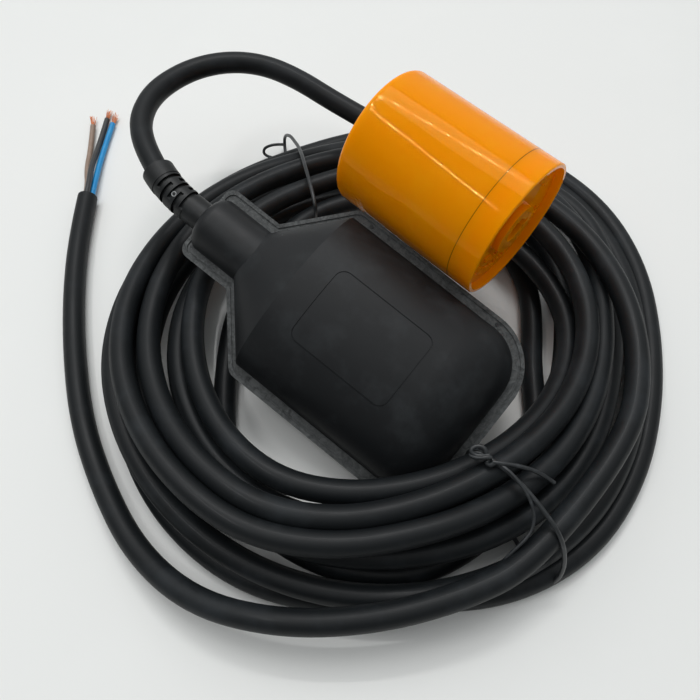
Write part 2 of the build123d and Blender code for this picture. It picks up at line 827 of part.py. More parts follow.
# Cement fill of the cup
with BuildPart() as weight_ballast:
    with BuildSketch(weight_plane):
        with Locations(((weight_floor + cap_seam - weight_spigot_length - ballast_gap) / 2,
                        (tube_radius + weight_radius - weight_wall) / 2)):
            Rectangle(cap_seam - weight_spigot_length - ballast_gap - weight_floor,
                      weight_radius - weight_wall - tube_radius)
    revolve(axis=weight_axis)
weight_ballast.part.label = "weight_ballast"
export_step(weight_ballast.part, "parts/weight_ballast.step")

# Split ring in the hub, which would lock the weight on the cable
ring_place = weight_start + weight_dir * (face_place + weight_hub_height - ring_height)
with BuildPart() as weight_lock_ring:
    with BuildSketch(Plane(origin=ring_place, z_dir=weight_dir)):
        Circle(ring_outer_diameter / 2)
        Circle(bore_radius, mode=Mode.SUBTRACT)
        with Locations((ring_outer_diameter / 2, 0)):
            Rectangle(ring_outer_diameter, ring_slot, mode=Mode.SUBTRACT)
    extrude(amount=ring_height)
weight_lock_ring.part.label = "weight_lock_ring"
export_step(weight_lock_ring.part, "parts/weight_lock_ring.step")

# Section of the coil, which is also what the ties are wrapped round
coil_point = Vector(coil_centre[0], coil_centre[1], 0)


def coil_section(azimuth):
    """Upright plane through the coil's axis: x outwards and y up."""
    outwards = Vector(1, 0, 0).rotate(Axis.Z, azimuth)
    return Plane(origin=coil_point, x_dir=outwards, z_dir=outwards.cross(Vector(0, 0, 1)))


def coil_outline(azimuth):
    """Outer shape of the heap of turns, cut across at an azimuth."""
    with BuildSketch(coil_section(azimuth), mode=Mode.PRIVATE) as profile:
        with BuildLine():
            Polyline(
                (coil_inner_radius, 0),
                (coil_outer_radius, 0),
                (coil_outer_radius, coil_outer_side),
                (coil_crown_end, coil_height),
                (coil_crown_start, coil_height),
                (coil_inner_radius, coil_inner_side),
                close=True,
            )
        make_face()
        levels = profile.vertices().group_by(Axis.Y)
        fillet(levels[0], coil_edge_radius)
        fillet(profile.vertices().group_by(Axis.Y)[-1], coil_top_radius)
    return profile.sketch


def turn_radii(points):
    """Arc radius at each corner: 0.45 of the shorter run over the tangent of half the turn."""
    radii = []
    for before, here, after in zip(points, points[1:], points[2:]):
        arriving = Vector(*here) - Vector(*before)
        leaving = Vector(*after) - Vector(*here)
        half_turn = radians(arriving.get_angle(leaving)) / 2
        radii.append(0.45 * min(arriving.length, leaving.length) / tan(half_turn))
    return radii


def tube(points, diameter):
    """Round solid of one diameter along straight runs joined by tangent arcs."""
    radii = turn_radii(points)
    print("radii", [round(radius, 1) for radius in radii])
    with BuildPart() as run:
        with BuildLine() as path:
            FilletPolyline(*points, radius=radii)
        route = path.wire()
        with BuildSketch(Plane(origin=route @ 0, z_dir=route % 0)):
            Circle(diameter / 2)
        sweep(path=route)
    ideal = pi * diameter**2 / 4 * route.length
    print("length", round(route.length, 1), "volume ratio", round(run.part.volume / ideal, 4))
    return run


# Free stretches of the cable
loop_start = relief_point(relief_end)
loop_points = [tuple(loop_start), tuple(loop_start + relief_dir(relief_end) * loop_first_run)]
loop_points += loop_route
cable_loop = tube(loop_points, cable_diameter)
cable_loop.part.label = "cable_loop"
export_step(cable_loop.part, "parts/cable_loop.step")
cable_tail = tube(tail_route, cable_diameter)
cable_tail.part.label = "cable_tail"
export_step(cable_tail.part, "parts/cable_tail.step")

# Three bared cores at the cable's end, with their copper strands
tail_end = Vector(*tail_route[-1])
tail_dir = (tail_end - Vector(*tail_route[-2])).normalized()
tail_plane = Plane(origin=tail_end, z_dir=tail_dir, x_dir=tail_dir.cross(Vector(0, 0, 1)))
for name, route in core_routes.items():
    turn = radians(core_turns[name])
    start = tail_plane.from_local_coords(
        Vector(core_pitch_radius * cos(turn), core_pitch_radius * sin(turn), 0))
    core = tube([tuple(start), tuple(start + tail_dir * core_first_run)] + route, core_diameter)
    core.part.label = name
    export_step(core.part, f"parts/{name}.step")
    copper = name.replace("core", "copper")
    core_end = Vector(*route[-1])
    with BuildPart() as strands:
        with BuildSketch(Plane(origin=core_end, z_dir=core_end - Vector(*route[-2]))):
            Circle(conductor_diameter / 2)
        extrude(amount=copper_length)
    strands.part.label = copper
    export_step(strands.part, f"parts/{copper}.step")


def wire_ring(section, corners, diameter):
    """Round wire bent into a closed ring in one plane."""
    with BuildPart() as ring:
        with BuildLine() as bends:
            FilletPolyline(*[section.from_local_coords(corner) for corner in corners],
                           radius=tie_corner_radius, close=True)
        path = bends.wire()
        with BuildSketch(Plane(origin=path @ 0, z_dir=path % 0)):
            Circle(diameter / 2)
        sweep(path=path)
    return ring


# Wire ties: a ring of coated wire round the heap at two places
tie_radius = tie_diameter / 2
tie_outside = coil_outer_radius + tie_clearance + tie_radius
tie_top = coil_height + tie_clearance + tie_radius
tie_rear_inside = coil_inner_radius - tie_clearance - tie_radius
tie_rooms = []
for name, azimuth, inside in (
    ("tie_front", tie_front_azimuth, tie_front_inside),
    ("tie_rear", tie_rear_azimuth, tie_rear_inside),
):
    section = coil_section(azimuth)
    corners = [
        (inside, tie_radius),
        (tie_outside, tie_radius),
        (tie_outside, coil_outer_side + tie_slope_lift),
        (coil_crown_end, tie_top),
        (inside + coil_crown_start - coil_inner_radius, tie_top),
        (inside, coil_inner_side + tie_slope_lift),
    ]
    tie = wire_ring(section, corners, tie_diameter)
    tie.part.label = name
    export_step(tie.part, f"parts/{name}.step")
    tie_rooms.append(wire_ring(section, corners, tie_diameter + 2 * tie_clearance))

# Room that the coil leaves for the float, the free cable and the ties
with BuildPart() as float_room:
    with BuildSketch(float_plane.offset(-flange_thickness - float_clearance)):
        add(float_outline())
        offset(amount=float_clearance, kind=Kind.ARC)
    extrude(amount=2 * (flange_thickness + float_clearance))
    add(float_form(-float_clearance))
    with BuildSketch(float_plane):
        add(float_outline())
        offset(amount=float_clearance, kind=Kind.ARC)
        with Locations((tuck_start, 0)):
            Rectangle(float_length, 2 * float_width, align=(Align.MIN, Align.CENTER),
                      mode=Mode.SUBTRACT)
    extrude(amount=3 * dome_height)

# Coil of the cable, relieved where the other pieces lie in it
with BuildPart() as cable_coil:
    add(coil_outline(0))
    revolve(axis=Axis(coil_point, (0, 0, 1)))
    add(float_room.part, mode=Mode.SUBTRACT)
    add(tube(loop_points, cable_diameter + 2 * lay_gap).part, mode=Mode.SUBTRACT)
    add(tube(tail_route, cable_diameter + 2 * lay_gap).part, mode=Mode.SUBTRACT)
    for room in tie_rooms:
        add(room.part, mode=Mode.SUBTRACT)
cable_coil.part.label = "cable_coil"
export_step(cable_coil.part, "parts/cable_coil.step")
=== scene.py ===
"""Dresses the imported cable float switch: its float, coiled cable and counterweight."""
from math import cos, radians, sin

import bpy
from mathutils import Matrix, Vector


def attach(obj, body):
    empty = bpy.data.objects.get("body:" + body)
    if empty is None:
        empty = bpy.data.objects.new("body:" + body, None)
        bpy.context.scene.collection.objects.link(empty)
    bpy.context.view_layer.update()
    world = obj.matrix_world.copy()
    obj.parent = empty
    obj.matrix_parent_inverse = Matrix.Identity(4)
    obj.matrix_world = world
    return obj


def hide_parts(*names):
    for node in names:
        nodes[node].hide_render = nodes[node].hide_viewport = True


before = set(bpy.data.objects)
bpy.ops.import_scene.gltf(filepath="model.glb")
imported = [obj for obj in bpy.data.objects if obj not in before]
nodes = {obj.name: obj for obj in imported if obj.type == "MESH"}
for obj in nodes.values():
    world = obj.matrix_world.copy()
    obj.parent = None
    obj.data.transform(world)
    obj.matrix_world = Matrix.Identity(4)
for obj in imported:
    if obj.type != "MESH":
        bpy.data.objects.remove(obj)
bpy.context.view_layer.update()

# Camera: held about 28 cm above the coil, looking down at 62 degrees onto the
# middle of it, with a moderately wide lens and no shift.
eye = Vector((0.08973, -0.12335, 0.2443))
aim = Vector((0.0121, -0.0192, 0.0))
camera = bpy.data.objects.new("camera", bpy.data.cameras.new("camera"))
camera.data.lens = 33.17
camera.data.sensor_width = 36.0
camera.data.clip_start = 0.01
camera.location = eye
camera.rotation_euler = (aim - eye).to_track_quat("-Z", "Y").to_euler()
bpy.context.scene.collection.objects.link(camera)
bpy.context.scene.camera = camera


# Cable: three-core flexible lead in a 9 mm round rubber jacket. It leaves the float's
# strain relief in a free loop, lies in eight loose turns on the floor and under the
# float, and comes out in a free tail with its cores bared.
cable_thickness = 0.009
coil_middle = (0.0164, -0.0041)


def linear(code):
    """Linear colour, as a shader socket takes it, of an sRGB hex code."""
    parts = [int(code[start:start + 2], 16) / 255 for start in (1, 3, 5)]
    return [p / 12.92 if p <= 0.04045 else ((p + 0.055) / 1.055) ** 2.4 for p in parts] + [1.0]


def add(tree, kind, inputs=(), **settings):
    """Add a node, set its properties, then fill its inputs with values or links."""
    node = tree.nodes.new(kind)
    for name, value in settings.items():
        setattr(node, name, value)
    for name, value in dict(inputs).items():
        if isinstance(value, bpy.types.NodeSocket):
            tree.links.new(value, node.inputs[name])
        else:
            node.inputs[name].default_value = value
    return node


def finish_named(name, colour, roughness):
    """A new material with its shader set to a colour and a roughness."""
    material = bpy.data.materials.new(name)
    material.use_nodes = True
    shader = material.node_tree.nodes["Principled BSDF"]
    shader.inputs["Base Color"].default_value = linear(colour)
    shader.inputs["Roughness"].default_value = roughness
    return material, material.node_tree, shader


def skin(name, colour, pale, roughness, pores, relief, scuffs, worn_from):
    """A moulded or drawn surface: fine pores, uneven gloss, and paler scuffs where a
    cloudy noise rises past worn_from. Pores and scuffs are counted per metre, and the
    relief of the pores is in metres."""
    material, tree, shader = finish_named(name, colour, roughness)
    place = add(tree, "ShaderNodeTexCoord").outputs["Object"]
    cloud = add(tree, "ShaderNodeTexNoise",
                {"Vector": place, "Scale": scuffs, "Detail": 8.0, "Roughness": 0.65})
    cloud = cloud.outputs["Fac"]
    worn = add(tree, "ShaderNodeMapRange", {"Value": cloud, "From Min": worn_from,
                                            "From Max": worn_from + 0.22}).outputs["Result"]
    paint = add(tree, "ShaderNodeMixRGB",
                {"Fac": worn, "Color1": linear(colour), "Color2": linear(pale)})
    gloss = add(tree, "ShaderNodeMapRange", {"Value": cloud, "From Min": 0.3, "From Max": 0.7,
                                             "To Min": 0.88 * roughness,
                                             "To Max": 1.14 * roughness})
    grain = add(tree, "ShaderNodeTexNoise", {"Vector": place, "Scale": pores, "Detail": 3.0})
    bump = add(tree, "ShaderNodeBump", {"Height": grain.outputs["Fac"], "Distance": relief})
    tree.links.new(paint.outputs["Color"], shader.inputs["Base Color"])
    tree.links.new(gloss.outputs["Result"], shader.inputs["Roughness"])
    tree.links.new(bump.outputs["Normal"], shader.inputs["Normal"])
    return material


# Rubber extruded as the cable's jacket: satin, nearly black, with fine pores and slow
# clouds of paler handling marks
cable_rubber = skin("cable_rubber", "#141719", "#24282B", 0.5, 2600, 0.00003, 42, 0.5)
cable_shader = cable_rubber.node_tree.nodes["Principled BSDF"]
cable_shader.inputs["Specular IOR Level"].default_value = 0.2
cable_shader.inputs["Coat Weight"].default_value = 0.03
cable_shader.inputs["Coat Roughness"].default_value = 0.14

# Stations of one turn in degrees round the coil, clockwise from above, then for each
# turn its distance from the middle and its height in millimetres at each station.
turn_stations = (25, -20, -50, -80, -125, -170, -210, -250, -290)
turns = (
    ((81, 28), (80.5, 31), (85.8, 32.5), (95, 32), (93, 26.5), (87, 23), (82, 20.5), (88, 19.5),
     (97, 19)),
    ((88, 22), (90, 27), (94.3, 32.5), (103.5, 31.5), (103, 28), (96.5, 21), (91.5, 15), (108, 6),
     (116, 4.6)),
    ((106, 9.5), (111, 12), (111, 12.5), (111, 12.5), (110, 15.5), (104, 10), (103.5, 5),
     (117, 4.6), (123.5, 4.6)),
    ((113.5, 4.5), (118.5, 4.5), (110.5, 4.5), (115, 4.5), (109.5, 5), (98, 5), (92, 5),
     (97.5, 4.8), (108, 12)),
    ((94, 14), (98, 17), (98.5, 20), (100.5, 19.5), (97, 14.5), (88.5, 9), (82.5, 6), (84.5, 6),
     (86, 7)),
    ((77, 8), (83, 14), (88.5, 19.5), (90, 19), (84, 17), (77, 11), (71, 7), (71, 5.5), (71, 5)),
    ((64, 4.5), (90, 4.5), (103, 4.5), (97, 4.5), (66, 5.5), (58.5, 10), (59, 15.5), (62, 16),
     (66, 17)),
    ((76.5, 18), (75, 24.5), (77.5, 27), (83, 27), (76.5, 24.5), (71.5, 24), (69, 21.5), (74, 25),
     (86.5, 27)),
)
coil_start = (100, 65.5, 31.0)
coil_end = (25 - 2880, 98, 30.0)
points_per_turn = 22
coil_path = [coil_start]
for lap, turn in enumerate(turns):
    for azimuth, (reach, height) in zip(turn_stations, turn):
        coil_path.append((azimuth - 360 * lap, reach, height))
coil_path.append(coil_end)
coil_path.append((-28 - 2880, 112, 24.0))


def slopes(places, values):
    """Slope at each station of a smooth line that never overshoots its stations."""
    steps = [b - a for a, b in zip(places, places[1:])]
    rates = [(b - a) / step for a, b, step in zip(values, values[1:], steps)]
    found = [rates[0]]
    for before, after in zip(rates, rates[1:]):
        found.append(2 * before * after / (before + after) if before * after > 0 else 0.0)
    return found + [rates[-1]]


def eased(places, values, ends, place):
    """Value of the smooth line through the stations at a place."""
    spot = max(i for i, p in enumerate(places[:-1]) if p <= place)
    step = places[spot + 1] - places[spot]
    t = (place - places[spot]) / step
    return (values[spot] * (1 + 2 * t) * (1 - t) ** 2 + ends[spot] * step * t * (1 - t) ** 2
            + values[spot + 1] * t * t * (3 - 2 * t) - ends[spot + 1] * step * t * t * (1 - t))


wound = [-azimuth for azimuth, reach, height in coil_path]
reaches = [reach for azimuth, reach, height in coil_path]
heights = [height for azimuth, reach, height in coil_path]
reach_slopes, height_slopes = slopes(wound, reaches), slopes(wound, heights)
step = 360 / points_per_turn
coil_points = []
for number in range(int((wound[-1] - wound[0]) / step)):
    angle = wound[0] + number * step
    reach = eased(wound, reaches, reach_slopes, angle) / cos(radians(step / 2)) / 1000
    height = eased(wound, heights, height_slopes, angle) / 1000
    coil_points.append((coil_middle[0] + reach * cos(radians(angle)),
                        coil_middle[1] - reach * sin(radians(angle)), height))

# The free loop from the strain relief over to the back, and the free tail
loop_points = [
    (-0.07807, -0.02366, 0.05396), (-0.0891, -0.0193, 0.0554),
    (-0.1020, -0.0098, 0.0561), (-0.1096, 0.0047, 0.0554), (-0.1105, 0.0206, 0.0540),
    (-0.1066, 0.0340, 0.0529), (-0.0983, 0.0449, 0.0518), (-0.0866, 0.0522, 0.0504),
    (-0.0718, 0.0560, 0.0477), (-0.0560, 0.0580, 0.0437), (-0.0350, 0.0602, 0.0403),
    (-0.0140, 0.0625, 0.0365),
]
tail_points = [
    (0.1153, -0.0570, 0.0240), (0.1023, -0.0800, 0.0230), (0.0833, -0.1025, 0.0205),
    (0.0593, -0.1215, 0.0180), (0.0313, -0.1335, 0.0130), (0.0018, -0.1335, 0.0074),
    (-0.0267, -0.1240, 0.0046), (-0.0535, -0.1103, 0.0045), (-0.0802, -0.0901, 0.0045),
    (-0.1041, -0.0686, 0.0045), (-0.1241, -0.0471, 0.0045), (-0.1377, -0.0297, 0.0045),
]


def cord_spline(name, points, thickness):
    """A round cord on one smooth spline with these points as its control points."""
    curve = bpy.data.curves.new(name, "CURVE")
    curve.dimensions = "3D"
    curve.bevel_depth = thickness / 2
    curve.bevel_resolution = 6
    curve.use_fill_caps = True
    spline = curve.splines.new("NURBS")
    spline.points.add(len(points) - 1)
    for control, point in zip(spline.points, points):
        control.co = (*point, 1.0)
    spline.order_u = 3
    spline.use_endpoint_u = True
    spline.resolution_u = 8
    piece = bpy.data.objects.new(name, curve)
    bpy.context.scene.collection.objects.link(piece)
    return piece


cable = cord_spline("cable", loop_points + coil_points + tail_points, cable_thickness)
cable.data.materials.append(cable_rubber)
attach(cable, "float")
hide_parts("cable_loop", "cable_coil", "cable_tail")

# Cores: three insulated conductors of 1 square millimetre, brown, black and blue,
# bared of the jacket and fanned a little. Each is stripped at its end, where its fine
# copper strands stand loose.
core_thickness = 0.0027
core_ring_radius = 0.00175
core_straight = 0.008
core_points = {
    "core_black": [(-0.1511, -0.0150, 0.0046), (-0.1602, -0.0023, 0.0024),
                   (-0.1714, 0.0137, 0.0021)],
    "core_blue": [(-0.1492, -0.0128, 0.0026), (-0.1582, -0.0005, 0.0017),
                  (-0.1668, 0.0132, 0.0020)],
    "core_brown": [(-0.1531, -0.0172, 0.0024), (-0.1629, -0.0058, 0.0017),
                   (-0.1739, 0.0060, 0.0020)],
}
core_angles = {"core_black": 270, "core_blue": 30, "core_brown": 150}
core_colours = {"core_black": ("#2B2D2F", "#3A3C3E"), "core_blue": ("#0A86C4", "#2F9BD0"),
                "core_brown": ("#8A7566", "#9C8878")}
strand_count = 24
strand_length = 0.0062
strand_root = 0.0008
strand_radius = 0.0001
strand_waver = 0.13
strand_seed = 3
strand_lean = 170.0
strand_shortest, strand_longest = 0.72, 1.08
bundle_radius = 0.00065


def socket(group, name, kind, way="INPUT"):
    """Add a socket to a node group and return its identifier."""
    return group.interface.new_socket(name=name, in_out=way, socket_type=kind).identifier


def baked(name, group, settings, placed):
    """A mesh object made once by a node group, with its place put into its mesh."""
    blank = bpy.data.objects.new(name + "_maker", bpy.data.meshes.new(name + "_maker"))
    bpy.context.scene.collection.objects.link(blank)
    maker = blank.modifiers.new("maker", "NODES")
    maker.node_group = group
    for identifier, value in settings.items():
        maker[identifier] = value
    shape = blank.evaluated_get(bpy.context.evaluated_depsgraph_get())
    mesh = bpy.data.meshes.new_from_object(shape)
    bpy.data.objects.remove(blank)
    mesh.transform(placed)
    mesh.name = name
    piece = bpy.data.objects.new(name, mesh)
    bpy.context.scene.collection.objects.link(piece)
    return piece


# Bare drawn copper: bright metal with a faint brown tarnish, in 900 patches per metre
tarnish_patches = 900.0
copper, tree, shader = finish_named("bright_copper", "#C8744A", 0.32)
shader.inputs["Metallic"].default_value = 1.0
copper_place = add(tree, "ShaderNodeTexCoord").outputs["Object"]
tarnish = add(tree, "ShaderNodeTexNoise",
              {"Vector": copper_place, "Scale": tarnish_patches, "Detail": 4.0})
copper_paint = add(tree, "ShaderNodeMixRGB", {"Fac": tarnish.outputs["Fac"],
                                              "Color1": linear("#E79A6C"),
                                              "Color2": linear("#A5532F")})
tree.links.new(copper_paint.outputs["Color"], shader.inputs["Base Color"])

# A bundle of strands: points scattered in the core's bore, each with a fine wire that
# leans away from the middle
bundle = bpy.data.node_groups.new("strand_bundle", "GeometryNodeTree")
socket(bundle, "Geometry", "NodeSocketGeometry", "OUTPUT")
count_key = socket(bundle, "Strands", "NodeSocketInt")
seed_key = socket(bundle, "Seed", "NodeSocketInt")
lean_key = socket(bundle, "Lean", "NodeSocketFloat")
given = add(bundle, "NodeGroupInput").outputs
reach_spread = add(bundle, "FunctionNodeRandomValue",
                   {"Min": (-bundle_radius, -bundle_radius, 0),
                    "Max": (bundle_radius, bundle_radius, 0), "Seed": given["Seed"]},
                   data_type="FLOAT_VECTOR").outputs["Value"]
roots = add(bundle, "GeometryNodePoints", {"Count": given["Strands"], "Position": reach_spread})
wire = add(bundle, "GeometryNodeCurvePrimitiveLine",
           {"Start": (0, 0, -strand_root), "End": (0, 0, strand_length)})
wire_section = add(bundle, "GeometryNodeCurvePrimitiveCircle",
                   {"Resolution": 6, "Radius": strand_radius})
wire_mesh = add(bundle, "GeometryNodeCurveToMesh",
                {"Curve": wire.outputs["Curve"], "Profile Curve": wire_section.outputs["Curve"],
                 "Fill Caps": True})
spot = add(bundle, "GeometryNodeInputPosition").outputs["Position"]
outward = add(bundle, "ShaderNodeVectorMath", {0: spot, 1: (0, 0, 1)}, operation="CROSS_PRODUCT")
leaning = add(bundle, "ShaderNodeVectorMath",
              {0: outward.outputs["Vector"], "Scale": given["Lean"]}, operation="SCALE")
waver = add(bundle, "FunctionNodeRandomValue",
            {"Min": (-strand_waver, -strand_waver, 0), "Max": (strand_waver, strand_waver, 0),
             "Seed": given["Seed"]}, data_type="FLOAT_VECTOR").outputs["Value"]
turned = add(bundle, "ShaderNodeVectorMath", {0: waver, 1: leaning.outputs["Vector"]},
             operation="SUBTRACT")
stretch = add(bundle, "FunctionNodeRandomValue",
              {"Min": (1, 1, strand_shortest), "Max": (1, 1, strand_longest),
               "Seed": given["Seed"]}, data_type="FLOAT_VECTOR").outputs["Value"]
laid = add(bundle, "GeometryNodeInstanceOnPoints",
           {"Points": roots.outputs[0], "Instance": wire_mesh.outputs["Mesh"],
            "Rotation": turned.outputs["Vector"], "Scale": stretch})
whole = add(bundle, "GeometryNodeRealizeInstances", {"Geometry": laid.outputs["Instances"]})
coated = add(bundle, "GeometryNodeSetMaterial", {"Geometry": whole.outputs["Geometry"],
                                                 "Material": copper})
add(bundle, "NodeGroupOutput", {"Geometry": coated.outputs["Geometry"]})

tail_tip = Vector(tail_points[-1])
tail_way = (tail_tip - Vector(tail_points[-2])).normalized()
tail_side = tail_way.cross(Vector((0, 0, 1)))
tail_up = tail_way.cross(tail_side)
for number, (name, points) in enumerate(core_points.items()):
    angle = radians(core_angles[name])
    root = tail_tip + core_ring_radius * (tail_side * cos(angle) + tail_up * sin(angle))
    core = cord_spline(name + "_insulation",
                       [tuple(root), tuple(root + tail_way * core_straight)] + points,
                       core_thickness)
    core.data.materials.append(skin(name + "_insulation", *core_colours[name],
                                    0.36, 3000, 0.00002, 260, 0.5))
    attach(core, "float")
    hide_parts(name)
    end = Vector(points[-1])
    end_way = (end - Vector(points[-2])).normalized()
    conductor = name.replace("core", "copper")
    strands = baked(conductor + "_strands", bundle,
                    {count_key: strand_count, seed_key: number + strand_seed,
                     lean_key: strand_lean},
                    Matrix.Translation(end) @ end_way.to_track_quat("Z", "Y").to_matrix().to_4x4())
    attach(strands, "float")
    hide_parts(conductor)

# Wire ties: plastic-coated wire drawn round the coil at two places and twisted. The
# front one ends in a small eye and two tails, the rear one in a short eye outside. The
# coat is satin black plastic, a little paler than the cable.
tie_coat = skin("tie_coat", "#232628", "#3A3D40", 0.4, 4000, 0.00002, 300, 0.5)
tie_wires = {
    "tie_front_wrap": (0.0016, True, [
        (0.0879, -0.0402, 0.0372), (0.0925, -0.0402, 0.0374), (0.1006, -0.0415, 0.0364),
        (0.1101, -0.0438, 0.0338), (0.1185, -0.0465, 0.0303), (0.1245, -0.0490, 0.0200),
        (0.1272, -0.0520, 0.0090), (0.1250, -0.0545, 0.0014), (0.1150, -0.0500, 0.0012),
        (0.0950, -0.0400, 0.0012), (0.0800, -0.0330, 0.0022), (0.0775, -0.0345, 0.0150),
        (0.0790, -0.0375, 0.0290), (0.0830, -0.0395, 0.0362)]),
    "tie_front_twist": (0.0016, False, [
        (0.0848, -0.0412, 0.0374), (0.0838, -0.0392, 0.0390), (0.0815, -0.0388, 0.0394),
        (0.0796, -0.0402, 0.0392), (0.0792, -0.0420, 0.0384), (0.0812, -0.0424, 0.0378),
        (0.0838, -0.0410, 0.0382), (0.0852, -0.0398, 0.0388), (0.0862, -0.0406, 0.0378),
        (0.0856, -0.0420, 0.0370), (0.0872, -0.0424, 0.0378), (0.0880, -0.0408, 0.0388),
        (0.0890, -0.0396, 0.0378), (0.0900, -0.0404, 0.0376)]),
    "tie_front_eye": (0.0014, False, [
        (0.0862, -0.0402, 0.0388), (0.0848, -0.0412, 0.0394), (0.0832, -0.0424, 0.0386),
        (0.0812, -0.0432, 0.0378), (0.0798, -0.0430, 0.0372), (0.0800, -0.0414, 0.0370),
        (0.0822, -0.0404, 0.0376), (0.0850, -0.0400, 0.0376)]),
    "tie_front_flat_tail": (0.0015, False, [
        (0.0872, -0.0412, 0.0388), (0.0896, -0.0400, 0.0390), (0.0920, -0.0385, 0.0384),
        (0.0956, -0.0364, 0.0376), (0.0998, -0.0342, 0.0356), (0.1036, -0.0328, 0.0334),
        (0.1076, -0.0320, 0.0312)]),
    "tie_front_long_tail": (0.0012, False, [
        (0.0880, -0.0398, 0.0376), (0.0910, -0.0402, 0.0384), (0.0955, -0.0408, 0.0382),
        (0.1010, -0.0424, 0.0366), (0.1053, -0.0444, 0.0346), (0.1080, -0.0470, 0.0322),
        (0.1094, -0.0502, 0.0304), (0.1092, -0.0540, 0.0290), (0.1082, -0.0580, 0.0268),
        (0.1074, -0.0620, 0.0240), (0.1062, -0.0660, 0.0210), (0.1056, -0.0690, 0.0186)]),
    "tie_rear_wrap": (0.0016, True, [
        (-0.0786, 0.0530, 0.0140), (-0.0725, 0.0492, 0.0170), (-0.0640, 0.0430, 0.0225),
        (-0.0560, 0.0360, 0.0275), (-0.0480, 0.0288, 0.0305), (-0.0400, 0.0220, 0.0316),
        (-0.0345, 0.0172, 0.0316), (-0.0308, 0.0140, 0.0290), (-0.0330, 0.0155, 0.0180),
        (-0.0390, 0.0200, 0.0040), (-0.0450, 0.0240, 0.0012), (-0.0600, 0.0360, 0.0012),
        (-0.0800, 0.0500, 0.0012), (-0.0850, 0.0550, 0.0020), (-0.0850, 0.0560, 0.0080)]),
    "tie_rear_eye": (0.0014, False, [
        (-0.0846, 0.0548, 0.0030), (-0.0850, 0.0520, 0.0050), (-0.0852, 0.0490, 0.0072),
        (-0.0872, 0.0466, 0.0072), (-0.0896, 0.0448, 0.0052), (-0.0892, 0.0436, 0.0028),
        (-0.0862, 0.0446, 0.0014), (-0.0820, 0.0470, 0.0010)]),
}


def wire_ring(piece):
    """Close a wire's spline on itself."""
    piece.data.splines[0].use_endpoint_u = False
    piece.data.splines[0].use_cyclic_u = True


for name, (thickness, closed, points) in tie_wires.items():
    wire = cord_spline(name, points, thickness)
    if closed:
        wire_ring(wire)
    wire.data.materials.append(tie_coat)
    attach(wire, "float")
    if closed:
        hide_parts(name.replace("_wrap", ""))

# Float: two half shells moulded in black polypropylene and welded along a flat flange.
# The domes are matt with light scuffs and flecks, and the flange keeps the rough, paler
# skin of the weld. Its grain, the flecks and their patches are counted per metre.
float_origin = Vector((-0.0511, -0.0274, 0.0485))
float_up = Vector((0.22046, -0.32887, 0.91828))
flange_half = 0.0018
flash_fade = 0.0004
flash_relief = 0.0004
flash_grain = 420.0
fleck_cells = 85.0
fleck_patches = 38.0
float_plastic = skin("matt_black_shell", "#151719", "#26292B", 0.5, 5200, 0.00002, 55, 0.5)
tree = float_plastic.node_tree
shader = tree.nodes["Principled BSDF"]
shader.inputs["Specular IOR Level"].default_value = 0.3
shell_place = add(tree, "ShaderNodeTexCoord").outputs["Object"]
above = add(tree, "ShaderNodeVectorMath", {0: shell_place, 1: float_up}, operation="DOT_PRODUCT")
level = add(tree, "ShaderNodeMath", {0: above.outputs["Value"], 1: float_origin.dot(float_up)},
            operation="SUBTRACT")
height = add(tree, "ShaderNodeMath", {0: level.outputs["Value"]}, operation="ABSOLUTE")
welded = add(tree, "ShaderNodeMapRange",
             {"Value": height.outputs["Value"], "To Min": 1.0, "To Max": 0.0,
              "From Min": flange_half, "From Max": flange_half + flash_fade})
flash = add(tree, "ShaderNodeTexNoise", {"Vector": shell_place, "Scale": flash_grain,
                                         "Detail": 10.0, "Roughness": 0.75, "Distortion": 1.2})
flash_tone = add(tree, "ShaderNodeMapRange", {"Value": flash.outputs["Fac"], "From Min": 0.35,
                                              "From Max": 0.75})
flash_paint = add(tree, "ShaderNodeMixRGB",
                  {"Fac": flash_tone.outputs["Result"], "Color1": linear("#2A2C2D"),
                   "Color2": linear("#6A6D6D")})
flecks = add(tree, "ShaderNodeTexVoronoi", {"Vector": shell_place, "Scale": fleck_cells})
fleck = add(tree, "ShaderNodeMapRange", {"Value": flecks.outputs["Distance"], "From Min": 0.05,
                                         "From Max": 0.03})
patches = add(tree, "ShaderNodeTexNoise",
              {"Vector": shell_place, "Scale": fleck_patches, "Detail": 2.0})
patch = add(tree, "ShaderNodeMapRange", {"Value": patches.outputs["Fac"], "From Min": 0.56,
                                         "From Max": 0.66})
flecked = add(tree, "ShaderNodeMath", {0: fleck.outputs["Result"], 1: patch.outputs["Result"]},
              operation="MULTIPLY")
plain = shader.inputs["Base Color"].links[0].from_socket
marked = add(tree, "ShaderNodeMixRGB", {"Fac": flecked.outputs["Value"], "Color1": plain,
                                        "Color2": linear("#6E7172")})
shell_paint = add(tree, "ShaderNodeMixRGB", {"Fac": welded.outputs["Result"],
                                             "Color1": marked.outputs["Color"],
                                             "Color2": flash_paint.outputs["Color"]})
tree.links.new(shell_paint.outputs["Color"], shader.inputs["Base Color"])
rough_height = add(tree, "ShaderNodeMath", {0: flash.outputs["Fac"], 1: welded.outputs["Result"]},
                   operation="MULTIPLY")
weld_bump = add(tree, "ShaderNodeBump",
                {"Height": rough_height.outputs["Value"], "Distance": flash_relief,
                 "Normal": shader.inputs["Normal"].links[0].from_socket})
tree.links.new(weld_bump.outputs["Normal"], shader.inputs["Normal"])

